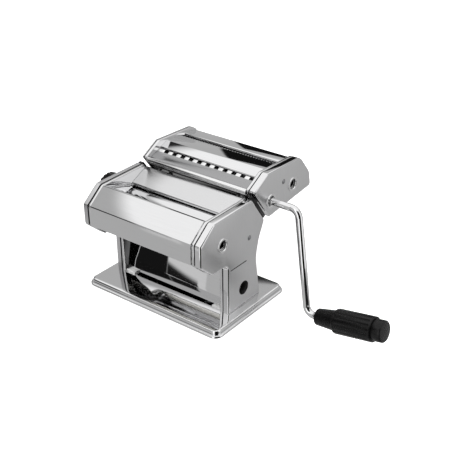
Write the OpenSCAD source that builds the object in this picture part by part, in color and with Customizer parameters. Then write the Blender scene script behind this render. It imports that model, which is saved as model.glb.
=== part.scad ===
// Hand-cranked pasta machine: smooth sheet rollers in a chromed head on two legs,
// a hook-on cutter head for wide and fine ribbons, and a plug-in crank.
// +X runs along the rollers to the crank side, +Y to the back, +Z up.
// The origin is the middle of the base, level with the underside of its feet.

/* [Base] */
// Length of the base tray along the rollers
base_l = 205; // [200:1:215]
// Depth of the base tray, front to back
base_w = 137; // [132:1:145]
// Height of the top of the base tray
base_h = 8.6; // [8.2:0.1:9]
// Corner radius of the base tray
base_corner = 11; // [8:0.5:14]

/* [Head] */
// Distance between the inner faces of the frame plates
head_gap = 151.2; // [151.2:0.2:152]
// Thickness of a frame plate
plate_t = 3.8; // [3.6:0.1:3.9]
// Depth of a side cover along the rollers
cover_depth = 7.6; // [7.4:0.1:8]
// Sheet thickness of the pressed covers
sheet_t = 1.2; // [1:0.1:1.4]
// Diameter of the table clamp hole in the right leg
clamp_hole_d = 17.5; // [16:0.5:19]

/* [Rollers] */
// Length of the roller surface
roller_l = 149.6; // [148:0.2:149.6]
// Diameter of the smooth rollers
roller_d = 27.5; // [27.3:0.1:27.7]
// Gap between the rollers with the knob at its first number
gap_open = 2.5; // [2.3:0.1:2.6]
// Gap between the rollers with the knob at its last number
gap_closed = 0.3; // [0.3:0.05:0.5]
// Turn of the knob from the first number to the last, in degrees
knob_turn = 240; // [200:10:280]

/* [Cutter head] */
// Width of a wide ribbon
wide_cut = 6.5; // [6:0.5:7]
// Width of a fine ribbon
fine_cut = 2; // [1.8:0.1:2.2]
// Distance between the axes of a cutter pair
cutter_centres = 18; // [17.8:0.1:18.1]
// How far the discs of a pair reach past each other
disc_lap = 0.8; // [0.6:0.1:0.9]

/* [Crank] */
// Diameter of the crank rod
rod_d = 9; // [8.6:0.1:9]
// Length of the crank arm between its two corners
arm_l = 136; // [125:1:140]
// Lean of the arm away from the machine, in degrees
arm_lean = 7.8; // [6:0.2:9]
// Tilt of the grip above level, in degrees
grip_tilt = 9.7; // [6:0.1:12]
// Largest diameter of the grip
grip_d = 30.5; // [28:0.5:32]

/* [Hidden] */
$fn = 64;

// Places along the rollers, counted from the middle
plate_in = head_gap / 2;
plate_out = plate_in + plate_t;
cover_gap = 1.6;
cover_in = plate_out + cover_gap;
cover_out = cover_in + cover_depth;
sheet_end = plate_in - 0.2;
roller_end = roller_l / 2;
gear_in = plate_out + 1.6;
gear_w = 5.2;
journal_end = gear_in + gear_w;

// Axes, as [y, z]
front_axis = [-38.6, 105.4];
rear_axis = [front_axis[0] + roller_d + gap_open, front_axis[1]];
roller_travel = gap_open - gap_closed;
knob_axis = [-10.6, 107];
wide_axis = [53.2, 123.9];
fine_axis = [98, 128.9];
wide_lean = 40;
fine_lean = 38.9;
wide_mate_axis = wide_axis + cutter_centres * [cos(wide_lean), sin(wide_lean)];
fine_mate_axis = fine_axis + cutter_centres * [cos(fine_lean), sin(fine_lean)];
clamp_axis = [0.4, 31.9];

// Outlines of the side plates, as [y, z, corner radius]
head_top_rear = [17, 139];
head_low_rear = [41.5, 105];
head_outline = [[-28.5, base_h, 0], [-28.5, 75, 8], [-57, 75, 3], [-77.6, 93.5, 5],
    [-77.6, 119.5, 3], [-54, 138, 5], [head_top_rear[0], head_top_rear[1], 2.5],
    [head_low_rear[0], head_low_rear[1], 5], [31, 84, 22], [25.6, 62, 34], [29.5, 36, 50],
    [33.6, base_h, 0]];
cutter_outline = [[50.5, 104, 3], [22.5, 143, 2], [20, 147, 2], [45.5, 161.3, 6],
    [113.5, 159, 16], [135, 132.5, 14], [138.5, 113, 4]];
slope = [head_low_rear[0] - head_top_rear[0], head_low_rear[1] - head_top_rear[1]];
slope_dir = slope / norm(slope);
slope_out = [-slope_dir[1], slope_dir[0]];

// ---- outline helpers -------------------------------------------------------

function unit(v) = v / norm(v);

// Points of one rounded corner at b, coming from a and going to c
function corner(a, b, c, r, n = 7) =
    r == 0 ? [b] :
    let (u = unit(a - b), w = unit(c - b), half = acos(u * w) / 2,
         mid = b + unit(u + w) * (r / sin(half)), s = b + u * (r / tan(half)),
         e = b + w * (r / tan(half)))
    [for (k = [0 : n]) let (q = s + (e - s) * k / n) mid + unit(q - mid) * r];

function flat(p) = [p[0], p[1]];

// Closed outline with rounded corners
function rounded(pts) = let (m = len(pts))
    [for (i = [0 : m - 1]) each corner(flat(pts[(i + m - 1) % m]), flat(pts[i]),
        flat(pts[(i + 1) % m]), pts[i][2])];

// Open path with rounded bends
function bent(pts) = let (m = len(pts))
    [flat(pts[0]), for (i = [1 : m - 2]) each corner(flat(pts[i - 1]), flat(pts[i]),
        flat(pts[i + 1]), pts[i][2]), flat(pts[m - 1])];

function left_of(v) = [-v[1], v[0]];

// Point p moved t to the left of the corner between directions u and w
function mitre(p, u, w, t) = p + left_of(unit(u + w)) * (t / (unit(u + w) * u));

// Closed outline moved t to its left
function inset(pts, t) = let (m = len(pts))
    [for (i = [0 : m - 1]) mitre(pts[i], unit(pts[i] - pts[(i + m - 1) % m]),
        unit(pts[(i + 1) % m] - pts[i]), t)];

// Folded sheet of thickness t on the left of an open path
function folded(pts, t) = let (m = len(pts), last = unit(pts[m - 1] - pts[m - 2]),
        first = unit(pts[1] - pts[0]))
    [each pts, pts[m - 1] + left_of(last) * t,
     for (i = [m - 2 : -1 : 1]) mitre(pts[i], unit(pts[i] - pts[i - 1]),
        unit(pts[i + 1] - pts[i]), t), pts[0] + left_of(first) * t];

// Place on the slanted back of the head: s down the slope, d away from it
function on_slope(s, d) = head_top_rear + slope_dir * s + slope_out * d;

// ---- shape helpers ---------------------------------------------------------

// Extrude a [y, z] outline along X from x0 to x1
module along_x(x0, x1) {
    translate([x0, 0, 0]) rotate([90, 0, 90]) linear_extrude(x1 - x0) children();
}

// Round bar along X on an axis [y, z]
module bar(axis, d, x0, x1) {
    translate([x0, axis[0], axis[1]]) rotate([0, 90, 0]) cylinder(d = d, h = x1 - x0);
}

module tube(axis, d_out, d_in, x0, x1) {
    difference() {
        bar(axis, d_out, x0, x1);
        bar(axis, d_in, x0 - 1, x1 + 1);
    }
}

module sheet_along_x(path, t = sheet_t, half = sheet_end) {
    along_x(-half, half) polygon(folded(path, t));
}

module rounded_slab(l, w, r, z0, z1) {
    translate([0, 0, z0]) linear_extrude(z1 - z0)
        polygon(rounded([[-l / 2, -w / 2, r], [l / 2, -w / 2, r], [l / 2, w / 2, r],
            [-l / 2, w / 2, r]]));
}

module both_sides() {
    children();
    mirror([1, 0, 0]) children();
}

// Involute spur gear on an axis [y, z]; turn is the angle of one tooth above +Y
module spur_gear(axis, teeth, centres, slack, turn, bore, x0 = gear_in, w = gear_w) {
    pitch_r = centres / 2;
    pressure = 27;
    base_r = pitch_r * cos(pressure);
    tip_r = pitch_r * (1 + 1.8 / teeth);
    root_r = pitch_r * (1 - 2.35 / teeth);
    half_pitch = 90 / teeth - slack * 90 / (PI * pitch_r);
    function inv(a) = tan(a) * 180 / PI - a;
    function half_at(r) = half_pitch + inv(pressure) - inv(acos(min(1, base_r / r)));
    steps = 4;
    radii = [root_r, for (k = [0 : steps]) base_r + (tip_r - base_r) * k / steps];
    flank = [for (r = radii) [r, half_at(max(r, base_r))]];
    n = len(flank);
    tooth = [each [for (f = flank) [f[0], -f[1]]],
        each [for (k = [n - 1 : -1 : 0]) [flank[k][0], flank[k][1]]]];
    translate([x0, axis[0], axis[1]]) rotate([90, 0, 90]) linear_extrude(w) difference() {
        polygon([for (i = [0 : teeth - 1], q = tooth)
            q[0] * [cos(q[1] + turn + i * 360 / teeth), sin(q[1] + turn + i * 360 / teeth)]]);
        circle(d = bore);
    }
}

// Socket for the flat end of the crank, cut into a drum from x = journal_end
socket_d = 9.3;
blade_t = 4.4;
blade_in = 62;
socket_in = 70.2;
module crank_socket(axis) {
    bar(axis, socket_d, socket_in, journal_end + 1);
    translate([blade_in, axis[0] - socket_d / 2, axis[1] - blade_t / 2 - 0.2])
        cube([socket_in - blade_in + 0.1, socket_d, blade_t + 0.4]);
}

// ---- base ------------------------------------------------------------------

foot_place = [84, 52];
screw_place = [68, 18];

module base_tray() {
    rim = 3;
    wall = 1.4;
    color("gainsboro") difference() {
        union() {
            rounded_slab(base_l, base_w, base_corner, 0.6, 3);
            rounded_slab(base_l - 2 * rim, base_w - 2 * rim, base_corner - 2, 3, base_h);
        }
        rounded_slab(base_l - 2 * rim - 2 * wall, base_w - 2 * rim - 2 * wall,
            base_corner - 4, -1, base_h - wall);
        for (x = [-1, 1], y = [-1, 1])
            translate([x * screw_place[0], y * screw_place[1] + 2, 0])
                cylinder(d = 4.6, h = base_h + 1);
    }
}

module base_feet() {
    color("dimgray") for (x = [-1, 1], y = [-1, 1])
        translate([x * foot_place[0], y * foot_place[1], 0])
            cylinder(d = 15, h = base_h - 1.4);
}

module leg_screws() {
    color("silver") for (x = [-1, 1], y = [-1, 1])
        translate([x * screw_place[0], y * screw_place[1] + 2, 0]) {
            translate([0, 0, base_h - 4]) cylinder(d = 8, h = 2.6);
            translate([0, 0, base_h - 2]) cylinder(d = 4, h = 5);
        }
}

// ---- side plates and covers ------------------------------------------------

tie_axes = [[-64, 106], [11, 93.8], [19, 127.5]];
tie_d = 6;
yoke_slot = [-22, 14, 17];

module frame_plate(x0, x1, foot_side) {
    difference() {
        union() {
            along_x(x0, x1) polygon(rounded(head_outline));
            translate([foot_side > 0 ? plate_in - 14 : -plate_in, -26, base_h])
                cube([14, 57, 2.4]);
        }
        along_x(x0 - 1, x1 + 1) polygon([
            [yoke_slot[0], front_axis[1] - yoke_slot[2] / 2],
            [yoke_slot[1], front_axis[1] - yoke_slot[2] / 2],
            [yoke_slot[1], front_axis[1] + yoke_slot[2] / 2],
            [yoke_slot[0], front_axis[1] + yoke_slot[2] / 2]]);
        for (a = tie_axes) bar(a, 4, x0 - 1, x1 + 1);
        for (y = [-1, 1])
            translate([foot_side * screw_place[0], y * screw_place[1] + 2, base_h - 1])
                cylinder(d = 4.04, h = 5);
        children();
    }
}

module left_frame_plate() {
    color("silver") frame_plate(-plate_out, -plate_in, -1) bar(front_axis, 14, -90, -70);
}

module right_frame_plate() {
    color("silver") frame_plate(plate_in, plate_out, 1) {
        bar(front_axis, 18, 70, 90);
        bar(clamp_axis, clamp_hole_d, 70, 90);
    }
}

// Pressed shell open towards the frame plate
module cover_shell(outline, x_open, x_face) {
    out = x_face > x_open ? 1 : -1;
    lo = min(x_open, x_face);
    hi = max(x_open, x_face);
    difference() {
        along_x(lo, hi) polygon(rounded(outline));
        along_x(out > 0 ? lo - 1 : lo + sheet_t, out > 0 ? hi - sheet_t : hi + 1)
            polygon(inset(rounded(outline), -sheet_t));
        children();
    }
}

module left_side_cover() {
    color("lightgray") cover_shell(head_outline, -cover_in, -cover_out)
        bar(knob_axis, 12, -100, -80);
}

module right_side_cover() {
    color("lightgray") difference() {
        cover_shell(head_outline, cover_in, cover_out) {
            bar(front_axis, 16, 80, 100);
            bar(clamp_axis, clamp_hole_d, 80, 100);
            bar(tie_axes[1], 4, 80, 100);
        }
        translate([cover_out - 0.5, -24.5, 65.4]) cube([1, 30, 1.3]);
    }
}

module clamp_bush() {
    color("gray") tube(clamp_axis, clamp_hole_d + 4, clamp_hole_d, plate_out, cover_out - sheet_t);
}

module crank_eye(axis, d) {
    translate([cover_out - sheet_t, axis[0], axis[1]]) rotate([0, 90, 0]) rotate_extrude()
        polygon([[d / 2 - 1.8, -0.6], [d / 2, -0.6], [d / 2, sheet_t], [d / 2 + 1.2, sheet_t],
            [d / 2 + 0.8, sheet_t + 0.9], [d / 2 - 1.2, sheet_t + 0.9], [d / 2 - 1.8, sheet_t]]);
}

module crank_ring() {
    color("white") crank_eye(front_axis, 16);
}

module cover_rivet(axis) {
    translate([cover_out, axis[0], axis[1]]) rotate([0, 90, 0]) {
        rotate_extrude() intersection() {
            translate([0, -4.1]) circle(r = 5.2);
            square([4, 2]);
        }
        translate([0, 0, -sheet_t - 0.6]) cylinder(d = 4, h = sheet_t + 0.7);
    }
}

module cover_rivets() {
    color("gainsboro") cover_rivet(tie_axes[1]);
}

// ---- head covers -----------------------------------------------------------

chute_top = [20.2, 136.6];
chute_low = [-7, 123.4];

module front_cover() {
    color("whitesmoke") sheet_along_x(bent([[-50.4, 132.8, 0], [-50.6, 137.3, 1.6],
        [-55.2, 138, 1.8], [-78.6, 119.9, 2.4], [-78.6, 94, 1.8], [-69, 90.6, 0]]));
}

module feed_chute() {
    color("whitesmoke") sheet_along_x(bent([[22.5, 133.6, 0], [chute_top[0], chute_top[1], 2],
        [chute_low[0], chute_low[1], 1.8], [-6.2, 120.2, 0]]), 1.1);
}

module feed_guards() {
    guard_t = 3.4;
    color("gainsboro") both_sides() difference() {
        along_x(sheet_end - guard_t, sheet_end) polygon(bent([[-49, 132.6, 0], [-42, 131.4, 4],
            [-12, 124.6, 12], [-9, 123.2, 0], [-8.4, 119.9, 0], [-23.4, 113.5, 0],
            [-49, 116, 0]]));
        for (y = [front_axis[0], rear_axis[0], rear_axis[0] - roller_travel])
            bar([y, front_axis[1]], roller_d + 1, 60, 80);
    }
}

module dough_guide() {
    color("gainsboro") sheet_along_x(bent([[-21.4, 11.6, 0], [-19.4, 24, 40], [-13, 54, 60],
        [1.5, 87, 0]]), 1);
}

module rear_cover() {
    color("gainsboro") difference() {
        sheet_along_x(bent([[19.73, 134.19, 0], [40.6, 104.8, 4.4], [30.2, 84, 22],
            [24.8, 62, 34], [28.7, 36, 50], [32.6, base_h + 0.4, 0]]), -1);
        for (x = [-1, 1], s = stud_places) stud_line(x * stud_x, s, 4.04, -3, 3);
    }
}

module tie_rods() {
    color("silver") for (a = tie_axes) {
        bar(a, tie_d, -plate_in, plate_in);
        bar(a, 4, -plate_out - 0.6, -plate_in);
        bar(a, 4, plate_in, plate_out + 0.6);
    }
}

module roller_bushes() {
    color("goldenrod") {
        tube(front_axis, 14, 10.1, -plate_out, -plate_in);
        tube(front_axis, 18, 14.1, plate_in, plate_out);
    }
}

module front_scraper() {
    color("ivory") sheet_along_x([[-67.6, 90.8], [-49.2, 95.2]], 1.2, sheet_end - 1);
}

module rear_scraper() {
    color("ivory") sheet_along_x([[1.9, 95.2], [6.6, 89.4]], 1.2, sheet_end - 1);
}

// ---- hooks for the cutter head ---------------------------------------------

stud_x = 60;
stud_places = [11, 31];
rest_gap = 4.8;
sheet_stand = 6;

// Round bar square to the slope, from d0 to d1 away from it
module stud_line(x, s, d, d0, d1) {
    p = on_slope(s, d0);
    tilt = atan2(slope_out[1], slope_out[0]);
    translate([x, p[0], p[1]]) rotate([tilt - 90, 0, 0]) cylinder(d = d, h = d1 - d0);
}

module head_studs() {
    color("silver") for (x = [-1, 1], s = stud_places) {
        stud_line(x * stud_x, s, 4, -1.6, 5);
        stud_line(x * stud_x, s, 9, sheet_stand + 0.2, sheet_stand + 1.3);
        stud_line(x * stud_x, s, 5, 0, sheet_stand + 0.4);
    }
}

module head_rests() {
    color("black") both_sides() along_x(cover_in + 0.3, cover_out - 0.6)
        polygon([on_slope(2, 0), on_slope(39, 0), on_slope(39, rest_gap - 0.8),
            on_slope(3, rest_gap - 0.8)]);
}

// ---- rollers ---------------------------------------------------------------

roller_teeth = 12;
roller_centres = roller_d + gap_closed;

module front_roller() {
    color("gainsboro") difference() {
        union() {
            bar(front_axis, roller_d, -roller_end, roller_end);
            bar(front_axis, 10, -plate_out - 0.6, -roller_end);
            bar(front_axis, 14, roller_end, journal_end);
        }
        crank_socket(front_axis);
    }
}

module front_roller_gear() {
    color("gray") spur_gear(front_axis, roller_teeth, roller_centres, 0.3, 0, 14);
}

module rear_roller() {
    color("gainsboro") {
        bar(rear_axis, roller_d, -roller_end, roller_end);
        bar(rear_axis, 10, -plate_out, -roller_end);
        bar(rear_axis, 10, roller_end, journal_end);
    }
}

module rear_roller_gear() {
    color("gray") spur_gear(rear_axis, roller_teeth, roller_centres, 0.3,
        180 / roller_teeth, 10);
}

// ---- thickness setting -----------------------------------------------------

cam_in = plate_out + 1.2;
cam_pin = [knob_axis[0] + 11, knob_axis[1]];
cam_travel = roller_travel;

module roller_yoke() {
    block_h = yoke_slot[2] - 0.4;
    color("slategray") difference() {
        union() {
            both_sides() translate([plate_in + 0.1, yoke_slot[0] + roller_travel + 0.6,
                front_axis[1] - block_h / 2])
                cube([plate_t - 0.2, yoke_slot[1] - yoke_slot[0] - roller_travel - 1, block_h]);
            translate([-plate_in - 0.2, 8, 99.4]) cube([2 * plate_in + 0.4, 3, 9]);
            bar(cam_pin, 2.8, -cam_in - 1.6, -plate_in - 1);
        }
        bar(rear_axis, 10.1, -90, -70);
        bar(rear_axis, 10.1, 70, 90);
    }
}

// Disc with a spiral groove that draws the yoke forward as it turns
module spiral_cam() {
    groove = 3.4;
    steps = 48;
    lead_in = 12;
    function groove_r(a) = cam_pin[0] - knob_axis[0] - cam_travel * a / knob_turn;
    function groove_pt(a, off) = (groove_r(a) + off) * [cos(a), sin(a)];
    sweep = [for (k = [0 : steps]) -lead_in + (knob_turn + 2 * lead_in) * k / steps];
    color("darkgray") difference() {
        bar(knob_axis, 30, -cam_in - 4, -cam_in);
        translate([-cam_in - 2, knob_axis[0], knob_axis[1]]) rotate([90, 0, 90])
            linear_extrude(3) polygon([for (a = sweep) groove_pt(a, groove / 2),
                for (k = [steps : -1 : 0]) groove_pt(sweep[k], -groove / 2)]);
        bar(knob_axis, 6, -90, -70);
    }
}

module adjuster_shaft() {
    color("silver") {
        bar(knob_axis, 6, -109.5, -cam_in);
        bar(knob_axis, 11, -108.4, -107.4);
    }
}

module dial_plate() {
    detents = 9;
    color("silver") difference() {
        bar(knob_axis, 45, -cover_out - 2.6, -cover_out);
        bar(knob_axis, 12, -100, -80);
        tube(knob_axis, 34, 27, -cover_out - 3, -cover_out - 1.2);
        for (k = [0 : detents - 1]) rotate_on_knob(90 + k * knob_turn / (detents - 1))
            bar([15.25, 0], 3.4, -cover_out - 2, -cover_out - 0.6);
    }
}

module rotate_on_knob(a) {
    translate([0, knob_axis[0], knob_axis[1]]) rotate([a, 0, 0]) children();
}

knob_in = -91.8;
knob_end = -112.4;

module thickness_knob() {
    flutes = 22;
    flute_r = 21.6;
    color("#202020") difference() {
        union() {
            bar(knob_axis, 43, knob_in - 3, knob_in);
            bar(knob_axis, 42, knob_end, knob_in - 2);
        }
        for (k = [0 : flutes - 1]) rotate_on_knob(k * 360 / flutes)
            bar([flute_r, 0], 3, knob_end - 1, knob_in - 4);
        bar(knob_axis, 6.12, -100, -80);
        bar(knob_axis, 16, knob_end + 1.6, -98);
        rotate_on_knob(90) bar([15.25, 0], 3, knob_in - 6, knob_in + 1);
    }
}

module locating_pin() {
    color("silver") rotate_on_knob(90) bar([15.25, 0], 3, knob_in - 5, knob_in + 1.6);
}

// Coil spring between the shaft's collar and the knob's inner floor
module knob_spring() {
    coil_r = 5.6;
    wire_r = 0.45;
    turns = 3.5;
    sides = 8;
    per_turn = 16;
    x_start = -106.9;
    rise = 4.4;
    rings = turns * per_turn;
    function ring_pt(i, j) = let (a = 360 * i / per_turn, b = 360 * j / sides,
        r = coil_r + wire_r * cos(b))
        [x_start + rise * i / rings + wire_r * sin(b), knob_axis[0] + r * cos(a),
         knob_axis[1] + r * sin(a)];
    points = [for (i = [0 : rings], j = [0 : sides - 1]) ring_pt(i, j)];
    walls = [for (i = [0 : rings - 1], j = [0 : sides - 1]) let (k = (j + 1) % sides)
        [i * sides + j, i * sides + k, (i + 1) * sides + k, (i + 1) * sides + j]];
    color("silver") polyhedron(points, [[for (j = [sides - 1 : -1 : 0]) j], each walls,
        [for (j = [0 : sides - 1]) rings * sides + j]]);
}

// ---- cutter head frame -----------------------------------------------------

cutter_left_out = -82.6;
cutter_tie_axes = [[33, 141.5], [78.4, 139.5], [125, 120], [60, 108.8]];

module cutter_plate(x0, x1) {
    difference() {
        along_x(x0, x1) polygon(rounded(cutter_outline));
        for (a = cutter_tie_axes) bar(a, 4, x0 - 1, x1 + 1);
        for (a = [wide_mate_axis, fine_mate_axis]) bar(a, 11, x0 - 1, x1 + 1);
        children();
    }
}

module cutter_left_plate() {
    color("silver") cutter_plate(-plate_out, -plate_in)
        for (a = [wide_axis, fine_axis]) bar(a, 11, -90, -70);
}

module cutter_right_plate() {
    color("silver") cutter_plate(plate_in, plate_out)
        for (a = [wide_axis, fine_axis]) bar(a, 17, 70, 90);
}

module cutter_left_cover() {
    color("lightgray") cover_shell(cutter_outline, -plate_out - 0.6, cutter_left_out);
}

module cutter_right_cover() {
    color("lightgray") cover_shell(cutter_outline, cover_in, cover_out) {
        for (a = [wide_axis, fine_axis]) bar(a, 16, 80, 100);
        bar(cutter_tie_axes[1], 4, 80, 100);
    }
}

module cutter_rings() {
    color("white") for (a = [wide_axis, fine_axis]) crank_eye(a, 16);
}

module cutter_rivets() {
    color("gainsboro") cover_rivet(cutter_tie_axes[1]);
}

module cutter_tie_rods() {
    color("silver") for (a = cutter_tie_axes) bar(a, 4, -plate_out - 0.4, plate_out + 0.6);
}

module cutter_bushes() {
    color("goldenrod") {
        for (a = [wide_axis, fine_axis]) {
            tube(a, 11, 8.1, -plate_out, -plate_in);
            tube(a, 17, hub_d + 0.1, plate_in, plate_out);
        }
        for (a = [wide_mate_axis, fine_mate_axis], x = [-plate_out, plate_in])
            tube(a, 11, 8.1, x, x + plate_t);
    }
}

// ---- cutter head covers ----------------------------------------------------

wide_lip = [44.3, 151.4];
fine_lip = [87.2, 154.5];
feed_half = 74;

module front_bar() {
    color("white") difference() {
        bar([23.4, 143.2], 7.4, -sheet_end, sheet_end);
        bar([23.4, 143.2], 4.6, -sheet_end - 1, sheet_end + 1);
    }
}

// Panel in front of a slot, its back edge cut into fingers
module comb_panel(path, t, finger, pitch, depth) {
    count = floor(2 * feed_half / pitch);
    edge = path[len(path) - 1];
    difference() {
        sheet_along_x(path, t);
        for (k = [0 : count - 1])
            translate([-count * pitch / 2 + k * pitch + finger, edge[0] - depth, edge[1] - 8])
                cube([pitch - finger, depth + 1, 12]);
    }
}

module front_comb() {
    color("silver") comb_panel([[27.6, 144.6], [31, 145.6], [40.8, 149.4], wide_lip], -1.1,
        wide_cut, 2 * wide_cut, 3.5);
}

module middle_panel() {
    color("white") sheet_along_x(bent([[51, 141, 0], [47.4, 147, 0], [46.8, 152.4, 2],
        [60.5, 157.2, 8], [83.5, 155.8, 0]]), -1.1);
}

module rear_comb() {
    color("silver") comb_panel([[76, 155.1], [83.5, 154.65], fine_lip], -0.9,
        fine_cut, 2 * fine_cut, 3.2);
}

module cutter_rear_cover() {
    color("#303030") sheet_along_x(bent([[93.2, 150, 0], [94.6, 155.2, 1.5],
        [115.4, 153.9, 4], [133.4, 131, 12], [136.2, 114.6, 3], [127, 112.6, 0]]), -1.1);
}

module cutter_front_sheet() {
    color("silver") difference() {
        along_x(-sheet_end, sheet_end) polygon([on_slope(4.4, rest_gap + 0.2),
            on_slope(41, rest_gap + 0.2), on_slope(41, sheet_stand), on_slope(4.4, sheet_stand)]);
        for (x = [-1, 1]) {
            translate([x * stud_x, 0, 0]) along_x(-3, 3) polygon([
                on_slope(stud_places[0], rest_gap - 1), on_slope(43, rest_gap - 1),
                on_slope(43, sheet_stand + 1), on_slope(stud_places[0], sheet_stand + 1)]);
            stud_line(x * stud_x, stud_places[0], 6, rest_gap - 1, sheet_stand + 1);
        }
    }
}

// ---- cutter drums ----------------------------------------------------------

cutter_teeth = 16;
hub_d = 13;
disc_d = cutter_centres + disc_lap;
groove_d = cutter_centres - disc_lap - 0.6;

// Grooved drum: discs of one ribbon's width, starting with a disc when first is 0
module cutter_drum(axis, cut, first, slack) {
    count = floor(2 * feed_half / cut);
    half = count * cut / 2;
    translate([0, axis[0], axis[1]]) rotate([0, 90, 0]) rotate_extrude()
        polygon([[0, -roller_end], [groove_d / 2, -roller_end],
            for (k = [first : 2 : count - 1]) let (a = -half + k * cut + slack,
                b = -half + (k + 1) * cut - slack)
                each [[groove_d / 2, a], [disc_d / 2, a], [disc_d / 2, b], [groove_d / 2, b]],
            [groove_d / 2, roller_end], [0, roller_end]]);
}

module drive_cutter(axis, cut, slack) {
    difference() {
        union() {
            cutter_drum(axis, cut, 0, slack);
            bar(axis, 8, -plate_out, -roller_end);
            bar(axis, hub_d, roller_end, journal_end);
        }
        crank_socket(axis);
    }
}

module mate_cutter(axis, cut, slack) {
    cutter_drum(axis, cut, 1, slack);
    bar(axis, 8, -plate_out, -roller_end);
    bar(axis, 8, roller_end, journal_end);
}

module wide_drive_cutter() { color("gainsboro") drive_cutter(wide_axis, wide_cut, 0.08); }
module wide_mate_cutter() { color("gainsboro") mate_cutter(wide_mate_axis, wide_cut, 0.08); }
module fine_drive_cutter() { color("gainsboro") drive_cutter(fine_axis, fine_cut, 0.06); }
module fine_mate_cutter() { color("gainsboro") mate_cutter(fine_mate_axis, fine_cut, 0.06); }

module cutter_gear(axis, turn, bore) {
    spur_gear(axis, cutter_teeth, cutter_centres, 0.24, turn, bore);
}

module wide_drive_gear() { color("gray") cutter_gear(wide_axis, wide_lean, hub_d); }
module fine_drive_gear() { color("gray") cutter_gear(fine_axis, fine_lean, hub_d); }
module wide_mate_gear() {
    color("gray") cutter_gear(wide_mate_axis, wide_lean + 180 / cutter_teeth, 8);
}
module fine_mate_gear() {
    color("gray") cutter_gear(fine_mate_axis, fine_lean + 180 / cutter_teeth, 8);
}

// Stripper plates under a pair, clear of the discs on both sides
module strippers(axis, mate, lean) {
    down = [sin(lean), -cos(lean)];
    across = [cos(lean), sin(lean)];
    mid = (axis + mate) / 2;
    reach = disc_d / 2 + 1.2;
    for (s = [-1, 1]) along_x(-sheet_end, sheet_end) polygon([
        mid + down * reach + across * s * 4, mid + down * (reach + 7) + across * s * 3,
        mid + down * (reach + 7) + across * s * 4.2, mid + down * reach + across * s * 5.4]);
}

module wide_strippers() { color("ivory") strippers(wide_axis, wide_mate_axis, wide_lean); }
module fine_strippers() { color("ivory") strippers(fine_axis, fine_mate_axis, fine_lean); }

// ---- crank -----------------------------------------------------------------

bend_r = 11;
shaft_corner = [126.5, wide_axis[1]];
arm_dir = [sin(arm_lean), -cos(arm_lean)];
grip_dir = [cos(grip_tilt), sin(grip_tilt)];
grip_corner = shaft_corner + arm_l * arm_dir;
spindle_d = 7;
grip_start = 15;
cone_end = 42;
sleeve_end = 93;
grip_end = 105.5;

// Straight rod in the crank's plane between two [x, z] points
module rod(a, b, d) {
    v = b - a;
    translate([a[0], wide_axis[0], a[1]]) rotate([0, atan2(v[0], v[1]), 0])
        cylinder(d = d, h = norm(v));
}

// Round bend from direction u to direction w with its corner at c
module rod_bend(c, u, w, d, r) {
    turn = acos(u * w);
    reach = r * tan(turn / 2);
    side = u[0] * w[1] - u[1] * w[0] > 0 ? 1 : -1;
    start = c - reach * u;
    middle = start + side * r * [-u[1], u[0]];
    from = atan2(start[1] - middle[1], start[0] - middle[0]);
    translate([middle[0], wide_axis[0], middle[1]]) rotate([90, 0, 0])
        rotate([0, 0, side > 0 ? from : from - turn]) rotate_extrude(angle = turn)
            translate([r, 0]) circle(d = d);
}

module crank_rod() {
    shaft_dir = [1, 0];
    top_turn = acos(shaft_dir * arm_dir);
    low_turn = acos(arm_dir * grip_dir);
    top_reach = bend_r * tan(top_turn / 2);
    low_reach = bend_r * tan(low_turn / 2);
    tip = socket_in + 0.5;
    lap = 0.3;
    color("white") {
        difference() {
            rod([blade_in + 0.6, wide_axis[1]],
                shaft_corner - (top_reach - lap) * shaft_dir, rod_d);
            for (z = [blade_t / 2, -blade_t / 2 - 6])
                translate([blade_in, wide_axis[0] - 6, wide_axis[1] + z])
                    cube([tip - blade_in, 12, 6]);
        }
        rod_bend(shaft_corner, shaft_dir, arm_dir, rod_d - 0.04, bend_r);
        rod(shaft_corner + (top_reach - lap) * arm_dir,
            grip_corner - (low_reach - lap) * arm_dir, rod_d);
        rod_bend(grip_corner, arm_dir, grip_dir, rod_d - 0.04, bend_r);
        rod(grip_corner + (low_reach - lap) * grip_dir,
            grip_corner + (grip_start - 0.4) * grip_dir, rod_d);
        rod(grip_corner + (grip_start - 0.5) * grip_dir, grip_corner + 99.5 * grip_dir,
            spindle_d);
    }
}

// Turned shape on the grip's axis; s is measured along it from the crank's lower corner
module on_grip() {
    translate([grip_corner[0], wide_axis[0], grip_corner[1]])
        rotate([0, 90 - grip_tilt, 0]) children();
}

module grip_washer() {
    color("silver") on_grip() translate([0, 0, 97]) difference() {
        cylinder(d = 12, h = 1.4);
        translate([0, 0, -1]) cylinder(d = spindle_d, h = 4);
    }
}

module crank_grip() {
    flutes = 16;
    color("#181818") on_grip() difference() {
        rotate_extrude() polygon([[0, grip_start], [9.4, grip_start], [10.2, grip_start + 1],
            [12.6, cone_end - 1], [grip_d / 2 - 0.6, cone_end], [grip_d / 2, cone_end + 1.2],
            [grip_d / 2, sleeve_end - 1], [grip_d / 2 - 0.8, sleeve_end], [0, sleeve_end]]);
        for (k = [0 : flutes - 1]) rotate([0, 0, k * 360 / flutes])
            translate([grip_d / 2 + 0.7, 0, cone_end + 3])
                cylinder(d = 3, h = sleeve_end - cone_end - 6);
        translate([0, 0, grip_start - 1]) cylinder(d = spindle_d + 0.12, h = 100);
    }
}

module grip_cap() {
    color("#101010") on_grip() difference() {
        rotate_extrude() polygon([[0, sleeve_end], [13.2, sleeve_end], [13.2, grip_end - 1.2],
            [12.2, grip_end], [0, grip_end]]);
        translate([0, 0, sleeve_end - 1]) cylinder(d = 14, h = 9);
    }
}

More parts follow.
